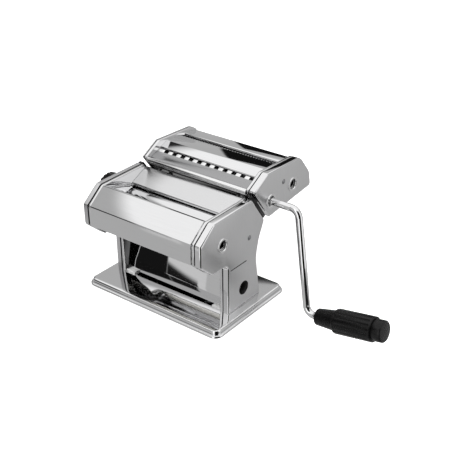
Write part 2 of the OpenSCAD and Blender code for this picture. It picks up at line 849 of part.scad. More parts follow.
base_tray();
base_feet();
leg_screws();
left_frame_plate();
right_frame_plate();
left_side_cover();
right_side_cover();
clamp_bush();
crank_ring();
cover_rivets();
front_cover();
feed_chute();
feed_guards();
dough_guide();
rear_cover();
tie_rods();
roller_bushes();
front_scraper();
rear_scraper();
head_studs();
head_rests();
dial_plate();
front_roller();
front_roller_gear();
rear_roller();
rear_roller_gear();
roller_yoke();
adjuster_shaft();
spiral_cam();
knob_spring();
thickness_knob();
locating_pin();
cutter_left_plate();
cutter_right_plate();
cutter_left_cover();
cutter_right_cover();
cutter_rings();
cutter_rivets();
front_bar();
front_comb();
middle_panel();
rear_comb();
cutter_rear_cover();
cutter_front_sheet();
cutter_bushes();
cutter_tie_rods();
wide_strippers();
fine_strippers();
wide_drive_cutter();
wide_drive_gear();
wide_mate_cutter();
wide_mate_gear();
fine_drive_cutter();
fine_drive_gear();
fine_mate_cutter();
fine_mate_gear();
crank_rod();
grip_washer();
crank_grip();
grip_cap();
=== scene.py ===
from math import cos, pi, radians, sin, tan

import bmesh
import bpy
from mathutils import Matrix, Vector


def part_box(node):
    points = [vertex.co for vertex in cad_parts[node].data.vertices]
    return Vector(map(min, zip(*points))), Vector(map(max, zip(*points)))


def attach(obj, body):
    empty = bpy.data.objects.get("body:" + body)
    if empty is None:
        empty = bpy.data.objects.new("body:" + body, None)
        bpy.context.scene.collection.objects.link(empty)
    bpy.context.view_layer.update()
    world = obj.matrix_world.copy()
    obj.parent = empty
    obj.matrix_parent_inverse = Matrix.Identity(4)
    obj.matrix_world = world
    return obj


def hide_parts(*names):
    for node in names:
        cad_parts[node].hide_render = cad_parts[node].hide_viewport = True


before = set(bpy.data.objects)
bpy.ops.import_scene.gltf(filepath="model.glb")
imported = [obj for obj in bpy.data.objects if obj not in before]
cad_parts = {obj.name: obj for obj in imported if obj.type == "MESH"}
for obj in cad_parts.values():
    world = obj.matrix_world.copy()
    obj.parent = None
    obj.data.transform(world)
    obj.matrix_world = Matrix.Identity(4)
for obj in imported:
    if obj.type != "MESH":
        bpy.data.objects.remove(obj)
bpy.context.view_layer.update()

mm = 0.001

# ---- Camera, light and table ----------------------------------------------
# A long lens looks at the machine from the crank side and a little above. The
# room is white with a few dark screens, because polished steel shows its room.
scene = bpy.context.scene
scene.view_settings.view_transform = "Standard"
scene.view_settings.look = "None"

camera_turn, camera_drop = 37.14, 28.66
camera_data = bpy.data.cameras.new("camera")
camera = bpy.data.objects.new("camera", camera_data)
scene.collection.objects.link(camera)
camera_data.lens = 68.6
camera_data.sensor_width = 36
camera_data.clip_end = 20
camera.location = (0.6187, -0.7163, 0.5892)
camera.rotation_euler = (radians(90 - camera_drop), 0, radians(camera_turn))
scene.camera = camera

world = bpy.data.worlds.new("white_room")
scene.world = world
world.use_nodes = True
room = world.node_tree
room.nodes.clear()


def room_math(operation, a, b=None, c=None):
    """A Math node in the room's light, fed by sockets or plain numbers."""
    node = room.nodes.new("ShaderNodeMath")
    node.operation = operation
    for place, value in enumerate((a, b, c)):
        if isinstance(value, (int, float)):
            node.inputs[place].default_value = value
        elif value is not None:
            room.links.new(value, node.inputs[place])
    return node.outputs[0]


def room_step(value, edge, soft):
    """0 below the edge and 1 above it, with a soft change."""
    node = room.nodes.new("ShaderNodeMapRange")
    node.interpolation_type = "SMOOTHSTEP"
    room.links.new(value, node.inputs["Value"])
    node.inputs["From Min"].default_value = edge - soft / 2
    node.inputs["From Max"].default_value = edge + soft / 2
    return node.outputs[0]


direction = room.nodes.new("ShaderNodeTexCoord").outputs["Generated"]
split = room.nodes.new("ShaderNodeSeparateXYZ")
room.links.new(direction, split.inputs[0])
look_x, look_y, look_z = split.outputs
turn = room_math("MULTIPLY", room_math("ARCTAN2", look_x, look_y), 180 / pi)
rise = room_math("MULTIPLY", room_math("ARCSINE", look_z), 180 / pi)


def room_screen(glow, turns, rises, shade, soft):
    """Puts a panel of that shade in the room, between those angles round and up."""
    mask = room_step(turn, turns[0], soft)
    for value, edge, above in ((turn, turns[1], False), (rise, rises[0], True),
                               (rise, rises[1], False)):
        side = room_step(value, edge, soft)
        mask = room_math("MULTIPLY", mask,
                         side if above else room_math("SUBTRACT", 1.0, side))
    kept = room_math("MULTIPLY", glow, room_math("SUBTRACT", 1.0, mask))
    return room_math("MULTIPLY_ADD", mask, shade, kept)


wall_glow, ceiling_glow, ceiling_rise, ceiling_blend = 0.46, 1.02, 38, 11
glow = room_math("MULTIPLY_ADD", room_step(rise, ceiling_rise, ceiling_blend),
                 ceiling_glow - wall_glow, wall_glow)
# Each screen: degrees round from the back towards the crank side, degrees up,
# its shade and how soft its edge is. A later screen hides an earlier one.
for turns, rises, shade, soft in (
        ((-35.2, -18), (0, 27), 0.006, 1),          # behind, to the knob side
        ((-160, -140.1), (-23, 11), 0.62, 1),       # in front, the grey one
        ((-156, -140.1), (12, 24), 0.01, 2),        # above the grey one
        ((-140.1, -108), (-19, 24), 0.008, 1),      # beside the grey one
        ((-156, -140.1), (-20, -11.5), 0.01, 1),    # across the grey one's foot
        ((84, 149), (-62, 45), 0.006, 4),           # on the crank side, the largest
        ((-76, -56), (-14, 34), 0.02, 4),           # on the knob side
        ((152, 180), (-30, 60), 1.25, 6),           # in front, a bright one
        ((52, 92), (-20, 50), 0.95, 8)):            # behind the crank side, bright
    glow = room_screen(glow, turns, rises, shade, soft)

light_path = room.nodes.new("ShaderNodeLightPath")
seen = room.nodes.new("ShaderNodeMix")
seen.data_type = "FLOAT"
room.links.new(light_path.outputs["Is Camera Ray"], seen.inputs["Factor"])
room.links.new(glow, seen.inputs["A"])
seen.inputs["B"].default_value = 1.0
backlight = room.nodes.new("ShaderNodeBackground")
room.links.new(seen.outputs[0], backlight.inputs["Color"])
room.links.new(backlight.outputs[0], room.nodes.new("ShaderNodeOutputWorld").inputs[0])

lit_point = Vector((0, 0, 0.08))
for name, place, size, watts in (("key_softbox", (-0.5, -0.9, 1.3), 0.9, 14),
                                 ("fill_softbox", (1.1, 0.3, 1.0), 0.8, 8)):
    lamp_data = bpy.data.lights.new(name, "AREA")
    lamp_data.size = size
    lamp_data.energy = watts
    lamp = bpy.data.objects.new(name, lamp_data)
    scene.collection.objects.link(lamp)
    lamp.location = place
    lamp.rotation_euler = (Vector(place) - lit_point).to_track_quat("Z", "Y").to_euler()
    lamp.visible_glossy = False

white_table = bpy.data.materials.new("white_table")
white_table.use_nodes = True
painted = white_table.node_tree.nodes["Principled BSDF"]
painted.inputs["Base Color"].default_value = (0.93, 0.93, 0.93, 1)
painted.inputs["Roughness"].default_value = 0.9
painted.inputs["Emission Color"].default_value = (1, 1, 1, 1)
painted.inputs["Emission Strength"].default_value = 0.55
# The table ends short of the crank's grip, which hangs beside it.
table_edge, table_far, floor_drop = 0.112, 3.0, 0.08
table_gap, floor_gap = 0.0002, 0.0003
bpy.ops.object.select_all(action="DESELECT")
bpy.ops.mesh.primitive_cube_add(
    size=1, location=((table_edge - table_far) / 2, 0, -floor_drop / 2 - table_gap),
    scale=(table_edge + table_far, 2 * table_far, floor_drop))
table_top = bpy.context.object
table_top.name = "table_top"
bpy.ops.mesh.primitive_plane_add(size=4 * table_far, location=(0, 0, -floor_drop - floor_gap))
floor = bpy.context.object
floor.name = "floor"
for piece in (table_top, floor):
    piece.visible_glossy = False
    piece.data.materials.append(white_table)

# ---- Base tray ------------------------------------------------------------
# The base is one rectangle of sheet steel drawn into a shallow tray with a
# flange round it, then chromed. It stands on four black rubber feet.
steel_marks = bpy.data.node_groups.new("steel_marks", "ShaderNodeTree")
for socket, kind in (("Line Direction", "NodeSocketVector"), ("Tint", "NodeSocketColor"),
                     ("Base Roughness", "NodeSocketFloat"), ("Line Depth", "NodeSocketFloat"),
                     ("Wiping", "NodeSocketFloat")):
    steel_marks.interface.new_socket(name=socket, in_out="INPUT", socket_type=kind)
for socket, kind in (("Color", "NodeSocketColor"), ("Roughness", "NodeSocketFloat"),
                     ("Normal", "NodeSocketVector")):
    steel_marks.interface.new_socket(name=socket, in_out="OUTPUT", socket_type=kind)
parts, wires = steel_marks.nodes, steel_marks.links
given = parts.new("NodeGroupInput")
made = parts.new("NodeGroupOutput")
place = parts.new("ShaderNodeTexCoord").outputs["Object"]
# The draw lines are a fine noise pulled long in the line direction.
stretched = parts.new("ShaderNodeVectorMath")
stretched.operation = "MULTIPLY"
wires.new(place, stretched.inputs[0])
wires.new(given.outputs["Line Direction"], stretched.inputs[1])
draw_lines = parts.new("ShaderNodeTexNoise")
draw_lines.inputs["Scale"].default_value = 1400
draw_lines.inputs["Detail"].default_value = 3
wires.new(stretched.outputs[0], draw_lines.inputs["Vector"])
darker = parts.new("ShaderNodeMix")
darker.data_type = "RGBA"
darker.blend_type = "MULTIPLY"
darker.inputs["Factor"].default_value = 0.10
wires.new(given.outputs["Tint"], darker.inputs["A"])
wires.new(draw_lines.outputs["Fac"], darker.inputs["B"])
wires.new(darker.outputs["Result"], made.inputs["Color"])
groove = parts.new("ShaderNodeBump")
groove.inputs["Distance"].default_value = 0.04 * mm
wires.new(given.outputs["Line Depth"], groove.inputs["Strength"])
wires.new(draw_lines.outputs["Fac"], groove.inputs["Height"])
wires.new(groove.outputs[0], made.inputs["Normal"])
# Wiping leaves wide patches that are a little duller.
wiping = parts.new("ShaderNodeTexNoise")
wiping.inputs["Scale"].default_value = 28
wiping.inputs["Detail"].default_value = 5
wires.new(place, wiping.inputs["Vector"])
dull = parts.new("ShaderNodeMapRange")
dull.inputs["From Min"].default_value = 0.4
dull.inputs["From Max"].default_value = 0.8
dull.inputs["To Min"].default_value = 0.0
wires.new(wiping.outputs["Fac"], dull.inputs["Value"])
wires.new(given.outputs["Wiping"], dull.inputs["To Max"])
rougher = parts.new("ShaderNodeMath")
rougher.operation = "MULTIPLY_ADD"
wires.new(dull.outputs[0], rougher.inputs[0])
wires.new(given.outputs["Base Roughness"], rougher.inputs[1])
wires.new(given.outputs["Base Roughness"], rougher.inputs[2])
wires.new(rougher.outputs[0], made.inputs["Roughness"])


def metal_finish(name, tint, rough, lines=0.04, wipes=0.5, along=0):
    """Plated or ground steel: draw lines along one axis, wiping marks, duller patches."""
    stretch = 50
    metal = bpy.data.materials.new(name)
    metal.use_nodes = True
    nodes, links = metal.node_tree.nodes, metal.node_tree.links
    skin = nodes["Principled BSDF"]
    skin.inputs["Metallic"].default_value = 1.0
    marks = nodes.new("ShaderNodeGroup")
    marks.node_tree = steel_marks
    marks.inputs["Line Direction"].default_value = [
        1 / stretch if k == along else 1 for k in range(3)]
    marks.inputs["Tint"].default_value = tint + (1,)
    marks.inputs["Base Roughness"].default_value = rough
    marks.inputs["Line Depth"].default_value = lines
    marks.inputs["Wiping"].default_value = wipes
    links.new(marks.outputs["Color"], skin.inputs["Base Color"])
    links.new(marks.outputs["Roughness"], skin.inputs["Roughness"])
    links.new(marks.outputs["Normal"], skin.inputs["Normal"])
    return metal


def grained_finish(name, grain, shades, rough, bumps=0.0, shine=0.5):
    """Rubber or plastic with a fine grain. Two shades or two roughnesses vary with it."""
    material = bpy.data.materials.new(name)
    material.use_nodes = True
    nodes, links = material.node_tree.nodes, material.node_tree.links
    skin = nodes["Principled BSDF"]
    skin.inputs["Specular IOR Level"].default_value = shine
    noise = nodes.new("ShaderNodeTexNoise")
    noise.inputs["Scale"].default_value = grain
    links.new(nodes.new("ShaderNodeTexCoord").outputs["Object"], noise.inputs["Vector"])
    if len(shades) == 1:
        skin.inputs["Base Color"].default_value = shades[0] + (1,)
    else:
        tone = nodes.new("ShaderNodeMix")
        tone.data_type = "RGBA"
        tone.inputs["A"].default_value = shades[0] + (1,)
        tone.inputs["B"].default_value = shades[1] + (1,)
        links.new(noise.outputs["Fac"], tone.inputs["Factor"])
        links.new(tone.outputs["Result"], skin.inputs["Base Color"])
    if len(rough) == 1:
        skin.inputs["Roughness"].default_value = rough[0]
    else:
        uneven = nodes.new("ShaderNodeMapRange")
        uneven.inputs["To Min"].default_value = rough[0]
        uneven.inputs["To Max"].default_value = rough[1]
        links.new(noise.outputs["Fac"], uneven.inputs["Value"])
        links.new(uneven.outputs[0], skin.inputs["Roughness"])
    if bumps:
        grit = nodes.new("ShaderNodeBump")
        grit.inputs["Strength"].default_value = bumps
        grit.inputs["Distance"].default_value = 0.1 * mm
        links.new(noise.outputs["Fac"], grit.inputs["Height"])
        links.new(grit.outputs[0], skin.inputs["Normal"])
    return material


def pick(kind, test):
    """Selects the faces, edges or verts of the piece in edit mode that pass a test."""
    bpy.ops.mesh.select_mode(type={"verts": "VERT", "edges": "EDGE", "faces": "FACE"}[kind])
    bpy.ops.mesh.select_all(action="DESELECT")
    mesh = bmesh.from_edit_mesh(bpy.context.edit_object.data)
    for part in getattr(mesh, kind):
        if test(part):
            part.select_set(True)
    bmesh.update_edit_mesh(bpy.context.edit_object.data)


def add_box(name, low_corner, high_corner):
    """A cube primitive between two corners, left in edit mode."""
    bpy.ops.object.select_all(action="DESELECT")
    a, b = Vector(low_corner), Vector(high_corner)
    bpy.ops.mesh.primitive_cube_add(size=1, location=(a + b) / 2, scale=b - a)
    bpy.context.object.name = bpy.context.object.data.name = name
    bpy.ops.object.transform_apply(location=True, rotation=True, scale=True)
    bpy.ops.object.mode_set(mode="EDIT")
    return bpy.context.object


def done(obj, body, material, node):
    """Ends a piece: smooth shading up to a fold, its finish, its body and its node."""
    if bpy.context.mode != "OBJECT":
        bpy.ops.object.mode_set(mode="OBJECT")
    bpy.ops.object.select_all(action="DESELECT")
    obj.select_set(True)
    bpy.context.view_layer.objects.active = obj
    bpy.ops.object.shade_smooth_by_angle(angle=radians(32))
    if not obj.data.materials:
        obj.data.materials.append(material)
    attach(obj, body)
    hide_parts(node)


chrome = metal_finish("chromed_sheet", (0.88, 0.88, 0.885), 0.045)
low_corner, high_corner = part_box("base_tray")
flange_top, flange_w, tray_wall = 3 * mm, 3 * mm, 1.4 * mm
corner_r, tray_edge_r, flange_edge_r = 11 * mm, 2.2 * mm, 0.9 * mm
level = 0.01 * mm
base = add_box("base_tray_skin", low_corner, (high_corner.x, high_corner.y, flange_top))
pick("edges", lambda e: abs(e.verts[0].co.z - e.verts[1].co.z) > mm)
bpy.ops.mesh.bevel(offset=corner_r, segments=10, affect="EDGES")
pick("faces", lambda f: f.normal.z > 0.9)
bpy.ops.mesh.inset(thickness=flange_w, depth=0)
bpy.ops.mesh.extrude_region_move(
    TRANSFORM_OT_translate={"value": (0, 0, high_corner.z - flange_top)})
pick("faces", lambda f: f.normal.z < -0.9)
bpy.ops.mesh.inset(thickness=flange_w + tray_wall, depth=0)
bpy.ops.mesh.extrude_region_move(
    TRANSFORM_OT_translate={"value": (0, 0, high_corner.z - tray_wall - low_corner.z)})
pick("edges", lambda e: all(abs(v.co.z - high_corner.z) < level for v in e.verts))
bpy.ops.mesh.bevel(offset=tray_edge_r, segments=5, affect="EDGES")
pick("edges", lambda e: all(abs(v.co.z - flange_top) < level for v in e.verts) and any(
    abs(f.normal.z) < 0.5 and f.calc_center_median().z < flange_top for f in e.link_faces))
bpy.ops.mesh.bevel(offset=flange_edge_r, segments=3, affect="EDGES")
done(base, "machine", chrome, "base_tray")


def dress(node, material, round_edge=0.3, fold=40):
    """Gives a kept CAD node its finish and takes the sharpness off its edges."""
    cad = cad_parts[node]
    cad.data.materials.clear()
    cad.data.materials.append(material)
    cad.data.shade_smooth()
    weld = cad.modifiers.new("weld", "WELD")
    weld.merge_threshold = 0.002 * mm
    edges = cad.modifiers.new("edges", "BEVEL")
    edges.width = round_edge * mm
    edges.segments = 2
    edges.limit_method = "ANGLE"
    edges.angle_limit = radians(fold)
    edges.harden_normals = True


dress("base_feet", grained_finish("foot_rubber", 900, [(0.03, 0.03, 0.03)], [0.75],
                                  bumps=0.3))

# ---- Frame plates ---------------------------------------------------------
# Two thick steel plates carry everything. Each is cut to the side's outline,
# its rim is rounded and polished, and its foot is bent in and screwed down.
touch, flat = 0.001 * mm, 0.97


def traced(name, outline, x0, x1, close=True):
    """Traces an outline of (y, z, corner radius) in mm and draws it out along X."""
    bpy.ops.object.select_all(action="DESELECT")
    bpy.ops.mesh.primitive_plane_add(size=0.01)
    obj = bpy.context.object
    obj.name = obj.data.name = name
    bpy.ops.object.mode_set(mode="EDIT")
    bpy.ops.mesh.select_mode(type="VERT")
    bpy.ops.mesh.select_all(action="SELECT")
    bpy.ops.mesh.merge(type="CENTER")
    points = [Vector((x0, y, z)) * mm for y, z, r in outline]
    bpy.ops.transform.translate(value=points[0])
    for a, b in zip(points, points[1:]):
        bpy.ops.mesh.extrude_region_move(TRANSFORM_OT_translate={"value": b - a})
    bpy.ops.mesh.select_all(action="SELECT")
    if close:
        bpy.ops.mesh.edge_face_add()
    bpy.ops.mesh.extrude_region_move(
        TRANSFORM_OT_translate={"value": ((x1 - x0) * mm, 0, 0)})
    bpy.ops.mesh.select_all(action="SELECT")
    bpy.ops.mesh.normals_make_consistent(inside=False)
    count = len(outline)
    for k, (y, z, r) in enumerate(outline):
        if r == 0 or (not close and k in (0, count - 1)):
            continue
        here, before, after = (Vector(outline[j][:2]) for j in (k, k - 1, (k + 1) % count))
        bend = (here - before).angle(after - here)
        pick("edges", lambda e: abs(e.verts[0].co.x - e.verts[1].co.x) > mm and all(
            abs(v.co.y - y * mm) < touch and abs(v.co.z - z * mm) < touch for v in e.verts))
        bpy.ops.mesh.bevel(offset=r * tan(bend / 2) * mm, segments=3 + int(r * bend / 4),
                           affect="EDGES", clamp_overlap=False)
    return obj


def bevel_rim(x, offset, segments=3):
    """Rounds the edge of the flat face that lies at that x, in mm."""
    pick("edges", lambda e: all(abs(v.co.x - x * mm) < touch for v in e.verts))
    bpy.ops.mesh.bevel(offset=offset * mm, segments=segments, affect="EDGES")


def cut(obj, cutter):
    """Takes the cutter's shape out of the piece."""
    if bpy.context.mode != "OBJECT":
        bpy.ops.object.mode_set(mode="OBJECT")
    bpy.context.view_layer.objects.active = obj
    hole = obj.modifiers.new("hole", "BOOLEAN")
    hole.object = cutter
    hole.operation = "DIFFERENCE"
    hole.solver = "EXACT"
    bpy.ops.object.modifier_apply(modifier="hole")
    bpy.data.objects.remove(cutter)


def pin_along_x(y, z, radius, x0, x1):
    """A round cutter along X, sizes in mm."""
    if bpy.context.mode != "OBJECT":
        bpy.ops.object.mode_set(mode="OBJECT")
    bpy.ops.object.select_all(action="DESELECT")
    bpy.ops.mesh.primitive_cylinder_add(
        vertices=64, radius=radius * mm, depth=(x1 - x0) * mm,
        location=((x0 + x1) / 2 * mm, y * mm, z * mm), rotation=(0, pi / 2, 0))
    bpy.ops.object.transform_apply(location=True, rotation=True, scale=True)
    return bpy.context.object


def block_cutter(x0, x1, y0, y1, z0, z1):
    """A square cutter, sizes in mm."""
    box = add_box("block_cutter", Vector((x0, y0, z0)) * mm, Vector((x1, y1, z1)) * mm)
    bpy.ops.object.mode_set(mode="OBJECT")
    return box


def paint_faces(obj, materials, which):
    """Gives each face the finish whose number which(centre in mm, normal) returns."""
    for material in materials:
        obj.data.materials.append(material)
    for face in obj.data.polygons:
        face.material_index = which(face.center / mm, face.normal)


def side_span(side, near, far):
    """The x values of a stretch on one side of the machine, the lower one first."""
    return sorted((side * near, side * far))


plate_steel = metal_finish("polished_plate_steel", (0.88, 0.88, 0.885), 0.06, along=1)
# Dark steel is painted shade: it darkens faces that stand in the dark gaps under the covers and
# the inner faces of the legs.
gap_shade_steel = metal_finish("painted_shade_inner_steel", (0.10, 0.10, 0.10), 0.12, along=1)
head_outline = [(-28.5, 8.6, 0), (-28.5, 75, 8), (-57, 75, 3), (-77.6, 93.5, 5),
                (-77.6, 119.5, 3), (-54, 138, 5), (17, 139, 2.5), (41.5, 105, 5),
                (31, 84, 22), (25.6, 62, 34), (29.5, 36, 50), (33.6, 8.6, 0)]
plate_in, plate_out, plate_rim = 75.6, 79.4, 1.1
front_axis, clamp_axis, clamp_r = (-38.6, 105.4), (0.4, 31.9), 8.75
yoke_slot = (-22, 14, 96.9, 113.9)
leg_top = 87
foot_y0, foot_y1, foot_base, foot_top = -26, 31, 8.6, 11
for name, side, bush_r in (("left_frame_plate", -1, 7), ("right_frame_plate", 1, 9)):
    x0, x1 = side_span(side, plate_in, plate_out)
    plate = traced(name + "_skin", head_outline, x0, x1)
    bevel_rim(x0, plate_rim)
    bevel_rim(x1, plate_rim)
    through = side_span(side, 70, 90)
    cut(plate, pin_along_x(*front_axis, bush_r, *through))
    cut(plate, block_cutter(*through, *yoke_slot))
    if side > 0:
        cut(plate, pin_along_x(*clamp_axis, clamp_r, *through))
    bpy.ops.object.mode_set(mode="EDIT")
    bpy.ops.mesh.select_all(action="SELECT")
    bpy.ops.mesh.bisect(plane_co=(0, 0, leg_top * mm), plane_no=(0, 0, 1))
    bpy.ops.object.mode_set(mode="OBJECT")
    # The face towards the side cover and the leg's inner face get the painted shade.
    paint_faces(plate, (plate_steel, gap_shade_steel),
                lambda c, n: 1 if n.x * side > flat or (n.x * side < -flat and c.z < leg_top)
                else 0)
    foot_x0, foot_x1 = side_span(side, 61.6, 75.5)
    foot = add_box("leg_foot", Vector((foot_x0, foot_y0, foot_base)) * mm,
                   Vector((foot_x1, foot_y1, foot_top)) * mm)
    pick("edges", lambda e: all(v.co.z > (foot_top - 0.1) * mm for v in e.verts))
    bpy.ops.mesh.bevel(offset=0.6 * mm, segments=2, affect="EDGES")
    bpy.ops.object.mode_set(mode="OBJECT")
    bpy.ops.object.select_all(action="DESELECT")
    foot.select_set(True)
    plate.select_set(True)
    bpy.context.view_layer.objects.active = plate
    bpy.ops.object.join()
    done(plate, "machine", plate_steel, name)

drawn_steel = metal_finish("drawn_steel", (0.60, 0.60, 0.61), 0.22)
bronze = metal_finish("sintered_bronze", (0.60, 0.45, 0.27), 0.35)
for node in ("leg_screws", "tie_rods", "roller_yoke"):
    dress(node, drawn_steel)
dress("roller_bushes", bronze)

# ---- Rollers and their gears ----------------------------------------------
# Two ground steel rollers lie side by side. The front one ends in a hub with a
# slotted socket for the crank, and a pair of cut gears turns the two together.


def shaded_socket_finish(name, tint, rough, y, z):
    """Ground steel with a painted shade: black inside the crank's socket, where the hole lies in
    shade.
    """
    metal = metal_finish(name, tint, rough)
    nodes, links = metal.node_tree.nodes, metal.node_tree.links
    skin = nodes["Principled BSDF"]
    steel_colour = skin.inputs["Base Color"].links[0].from_socket
    centred = nodes.new("ShaderNodeVectorMath")
    centred.operation = "SUBTRACT"
    centred.inputs[1].default_value = (0, y * mm, z * mm)
    links.new(nodes.new("ShaderNodeTexCoord").outputs["Object"], centred.inputs[0])
    flattened = nodes.new("ShaderNodeVectorMath")
    flattened.operation = "MULTIPLY"
    flattened.inputs[1].default_value = (0, 1, 1)
    links.new(centred.outputs[0], flattened.inputs[0])
    reach = nodes.new("ShaderNodeVectorMath")
    reach.operation = "LENGTH"
    links.new(flattened.outputs[0], reach.inputs[0])
    inside = nodes.new("ShaderNodeMapRange")
    inside.inputs["From Min"].default_value = 4.7 * mm
    inside.inputs["From Max"].default_value = 5.0 * mm
    inside.inputs["To Min"].default_value = 1.0
    inside.inputs["To Max"].default_value = 0.0
    links.new(reach.outputs["Value"], inside.inputs["Value"])
    colour = nodes.new("ShaderNodeMix")
    colour.data_type = "RGBA"
    # The near-black is the painted shade in the socket.
    colour.inputs["B"].default_value = (0.012, 0.012, 0.012, 1)
    links.new(inside.outputs[0], colour.inputs["Factor"])
    links.new(steel_colour, colour.inputs["A"])
    links.new(colour.outputs["Result"], skin.inputs["Base Color"])
    return metal


roller_tint, roller_rough = (0.84, 0.84, 0.85), 0.07
dress("front_roller", shaded_socket_finish("front_roller_steel", roller_tint, roller_rough, *front_axis))
dress("rear_roller", metal_finish("ground_roller_steel", roller_tint, roller_rough))
gear_steel = metal_finish("greased_gear_steel", (0.35, 0.35, 0.36), 0.35)
for node in ("front_roller_gear", "rear_roller_gear"):
    dress(node, gear_steel, round_edge=0.12)
scraper = grained_finish("scraper_plastic", 120, [(0.76, 0.75, 0.70), (0.84, 0.83, 0.78)], [0.5])
for node in ("front_scraper", "rear_scraper"):
    dress(node, scraper, round_edge=0.15)

# ---- Side covers ----------------------------------------------------------
# A pressed steel cap closes the gears on each side. The right one has a ringed
# hole for the crank, a clamp hole low down and one pressed line; the clamp hole
# and the pressed line's floor are painted black as shade.
cover_steel = metal_finish("bright_pressed_steel", (0.80, 0.80, 0.805), 0.32,
                           lines=0.10, wipes=0.3, along=2)
rim_chrome = metal_finish("rim_chrome", (0.88, 0.88, 0.885), 0.05)
# Near-black is painted shade, for the clamp hole and the floor of the pressed line.
painted_hole_shade = grained_finish("painted_hole_shade", 400, [(0.004, 0.004, 0.004), (0.016, 0.016, 0.016)], [0.6])


def cap(name, outline, x_open, x_face, rim, wall):
    """A pressed cap: rounded rim at x_face, open towards the plate at x_open."""
    shell = traced(name, outline, x_open, x_face)
    bevel_rim(x_face, rim, segments=5)
    pick("faces", lambda f: all(abs(v.co.x - x_open * mm) < touch for v in f.verts))
    bpy.ops.mesh.inset(thickness=wall * mm, depth=0)
    depth = abs(x_face - x_open) - wall
    bpy.ops.mesh.extrude_region_move(TRANSFORM_OT_translate={
        "value": (depth * mm if x_face > x_open else -depth * mm, 0, 0)})
    bpy.ops.mesh.select_all(action="SELECT")
    # A merge goes by the order of the vertices, and a bevel's order is not fixed.
    bpy.ops.mesh.sort_elements(type="CURSOR_DISTANCE", elements={"VERT"})
    bpy.ops.mesh.remove_doubles(threshold=0.03 * mm)
    bpy.ops.object.mode_set(mode="OBJECT")
    return shell


cover_open, cover_face, cover_rim, cover_wall = 81, 88.6, 2.6, 1.2
ring_r, shaft_axis, shaft_hole_r = 8, (-10.6, 107), 6
right_cover = cap("right_side_cover_skin", head_outline, cover_open, cover_face,
                  cover_rim, cover_wall)
for axis, radius in ((front_axis, ring_r), (clamp_axis, clamp_r)):
    cut(right_cover, pin_along_x(*axis, radius, *side_span(1, 84, 92)))
line_y0, line_y1, line_z0, line_z1, line_floor = -24.5, 5.7, 65.3, 66.7, 88.05
cut(right_cover, block_cutter(line_floor, 90, line_y0, line_y1, line_z0, line_z1))
# The floor of the pressed line is painted black as its shadow.
paint_faces(right_cover, (cover_steel, rim_chrome, painted_hole_shade),
            lambda c, n: 2 if abs(c.x - line_floor) < 0.2 and line_y0 < c.y < line_y1
            and line_z0 - 0.1 < c.z < line_z1 + 0.1 else 0 if abs(n.x) > flat else 1)
done(right_cover, "machine", cover_steel, "right_side_cover")

left_cover = cap("left_side_cover_skin", head_outline, -cover_open, -cover_face,
                 cover_rim, cover_wall)
cut(left_cover, pin_along_x(*shaft_axis, shaft_hole_r, *side_span(-1, 84, 92)))
done(left_cover, "machine", cover_steel, "left_side_cover")
# The clamp bush is painted black as the shade in its hole.
dress("clamp_bush", painted_hole_shade)
ring_chrome = metal_finish("ring_chrome", (0.92, 0.92, 0.92), 0.06)
for node in ("crank_ring", "cutter_rings"):
    dress(node, ring_chrome, round_edge=0.15)
for node in ("cover_rivets", "cutter_rivets"):
    dress(node, gear_steel, round_edge=0.1)

# ---- Covers of the head ---------------------------------------------------
# Folded chromed sheets span the plates: the front cover, the sloping feed
# chute with a guard at each end, the guide below the rollers and the back.


def folded_sheet(name, path, thickness):
    """A sheet folded along a path of (y, z, bend radius); thickness grows to its left."""
    half_span = 75.4
    sheet = traced(name, path, -half_span, half_span, close=False)
    bpy.ops.object.mode_set(mode="OBJECT")
    y0, z0 = path[0][:2]
    y1, z1 = path[1][:2]
    left = Vector((0, -(z1 - z0), y1 - y0)) * (1 if thickness > 0 else -1)
    start = Vector((0, (y0 + y1) / 2, (z0 + z1) / 2))
    first = min(sheet.data.polygons, key=lambda f: (f.center / mm - start).length)
    if first.normal.dot(left) >= 0:
        bpy.ops.object.mode_set(mode="EDIT")
        bpy.ops.mesh.select_all(action="SELECT")
        bpy.ops.mesh.flip_normals()
        bpy.ops.object.mode_set(mode="OBJECT")
    thick = sheet.modifiers.new("thick", "SOLIDIFY")
    thick.thickness = abs(thickness) * mm
    thick.offset = -1
    thick.use_even_offset = True
    bpy.ops.object.modifier_apply(modifier="thick")
    edge = sheet.modifiers.new("edge", "BEVEL")
    edge.width = 0.25 * mm
    edge.segments = 2
    edge.limit_method = "ANGLE"
    edge.angle_limit = radians(60)
    bpy.ops.object.modifier_apply(modifier="edge")
    return sheet


brushed_chrome = metal_finish("brushed_chrome", (0.86, 0.86, 0.865), 0.07, lines=0.4, wipes=0.6)
front_cover = folded_sheet("front_cover_skin", [
    (-50.4, 132.8, 0), (-50.6, 137.3, 1.6), (-55.2, 138, 1.8), (-78.6, 119.9, 1.6),
    (-78.6, 94, 1.8), (-69, 90.6, 0)], 1.2)
done(front_cover, "machine", brushed_chrome, "front_cover")

chute_steel = metal_finish("soft_chrome", (0.76, 0.76, 0.765), 0.16, lines=0.2, wipes=0.6)
chute = folded_sheet("feed_chute_skin", [
    (22.5, 133.6, 0), (20.2, 136.6, 2), (-7, 123.4, 1.8), (-6.2, 120.2, 0)], 1.1)
done(chute, "machine", chute_steel, "feed_chute")

guide_chrome = metal_finish("guide_chrome", (0.88, 0.88, 0.885), 0.03)
guide = folded_sheet("dough_guide_skin", [
    (-21.4, 11.6, 0), (-19.4, 24, 40), (-13, 54, 60), (1.5, 87, 0)], 1)
done(guide, "machine", guide_chrome, "dough_guide")
for node in ("feed_guards", "rear_cover"):
    dress(node, chrome)
# The studs get the same dark painted shade.
dress("head_studs", gap_shade_steel)
black_plastic = grained_finish("black_plastic", 700, [(0.003, 0.003, 0.003)], [0.18, 0.34],
                               bumps=0.12, shine=0.28)
